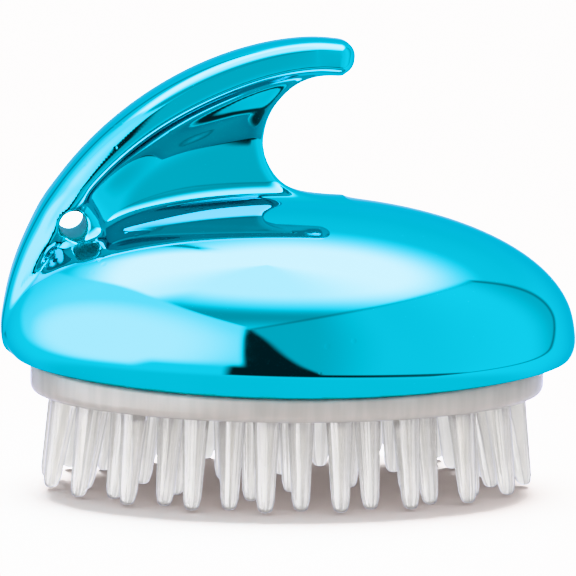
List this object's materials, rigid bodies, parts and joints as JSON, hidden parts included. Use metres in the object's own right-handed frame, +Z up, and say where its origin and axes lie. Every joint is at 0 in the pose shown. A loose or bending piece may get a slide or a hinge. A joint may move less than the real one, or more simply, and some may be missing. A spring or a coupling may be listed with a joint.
{
  "type": "scalp massager brush",
  "caption": "Handheld scalp massager: egg-shaped plated shell with a curved fin grip and lanyard eyelet, over a pull-off clear silicone head with splayed round-tipped bristles.",
  "frame": {"origin": "middle of the footprint on the surface that the bristle tips stand on", "axes": "+Z up, away from the bristle tips; +X along the length, towards the free end of the fin; +Y across the width"},
  "size_m": [0.0921, 0.061, 0.072],
  "materials": {
    "plated_shell": "electroplated plastic, cyan-tinted mirror finish",
    "backing_plate": "plain moulded white plastic",
    "screws": "bright zinc",
    "silicone_base": "translucent silicone",
    "silicone_bristles": "clear silicone"
  },
  "bodies": {
    "handle": {"handle_shell": "plated_shell", "backing_plate": "backing_plate", "plate_screw_1": "screws", "plate_screw_2": "screws", "plate_screw_3": "screws"},
    "brush_head": {"bristle_base": "silicone_base", "bristle_outer_01": "silicone_bristles", "bristle_outer_02": "silicone_bristles", "bristle_outer_03": "silicone_bristles", "bristle_outer_04": "silicone_bristles", "bristle_outer_05": "silicone_bristles", "bristle_outer_06": "silicone_bristles", "bristle_outer_07": "silicone_bristles", "bristle_outer_08": "silicone_bristles", "bristle_outer_09": "silicone_bristles", "bristle_outer_10": "silicone_bristles", "bristle_outer_11": "silicone_bristles", "bristle_outer_12": "silicone_bristles", "bristle_outer_13": "silicone_bristles", "bristle_outer_14": "silicone_bristles", "bristle_outer_15": "silicone_bristles", "bristle_outer_16": "silicone_bristles", "bristle_outer_17": "silicone_bristles", "bristle_outer_18": "silicone_bristles", "bristle_outer_19": "silicone_bristles", "bristle_outer_20": "silicone_bristles", "bristle_second_01": "silicone_bristles", "bristle_second_02": "silicone_bristles", "bristle_second_03": "silicone_bristles", "bristle_second_04": "silicone_bristles", "bristle_second_05": "silicone_bristles", "bristle_second_06": "silicone_bristles", "bristle_second_07": "silicone_bristles", "bristle_second_08": "silicone_bristles", "bristle_second_09": "silicone_bristles", "bristle_second_10": "silicone_bristles", "bristle_second_11": "silicone_bristles", "bristle_second_12": "silicone_bristles", "bristle_second_13": "silicone_bristles", "bristle_second_14": "silicone_bristles", "bristle_second_15": "silicone_bristles", "bristle_second_16": "silicone_bristles", "bristle_second_17": "silicone_bristles", "bristle_second_18": "silicone_bristles", "bristle_third_01": "silicone_bristles", "bristle_third_02": "silicone_bristles", "bristle_third_03": "silicone_bristles", "bristle_third_04": "silicone_bristles", "bristle_third_05": "silicone_bristles", "bristle_third_06": "silicone_bristles", "bristle_third_07": "silicone_bristles", "bristle_third_08": "silicone_bristles", "bristle_third_09": "silicone_bristles", "bristle_third_10": "silicone_bristles", "bristle_inner_01": "silicone_bristles", "bristle_inner_02": "silicone_bristles", "bristle_inner_03": "silicone_bristles", "bristle_inner_04": "silicone_bristles", "bristle_inner_05": "silicone_bristles", "bristle_inner_06": "silicone_bristles"}
  },
  "joints": [
    {"name": "handle_lift_off", "type": "slide", "parent": "brush_head", "child": "handle", "axis": [0, 0, 1], "range_m": [0, 0.02]}
  ]
}
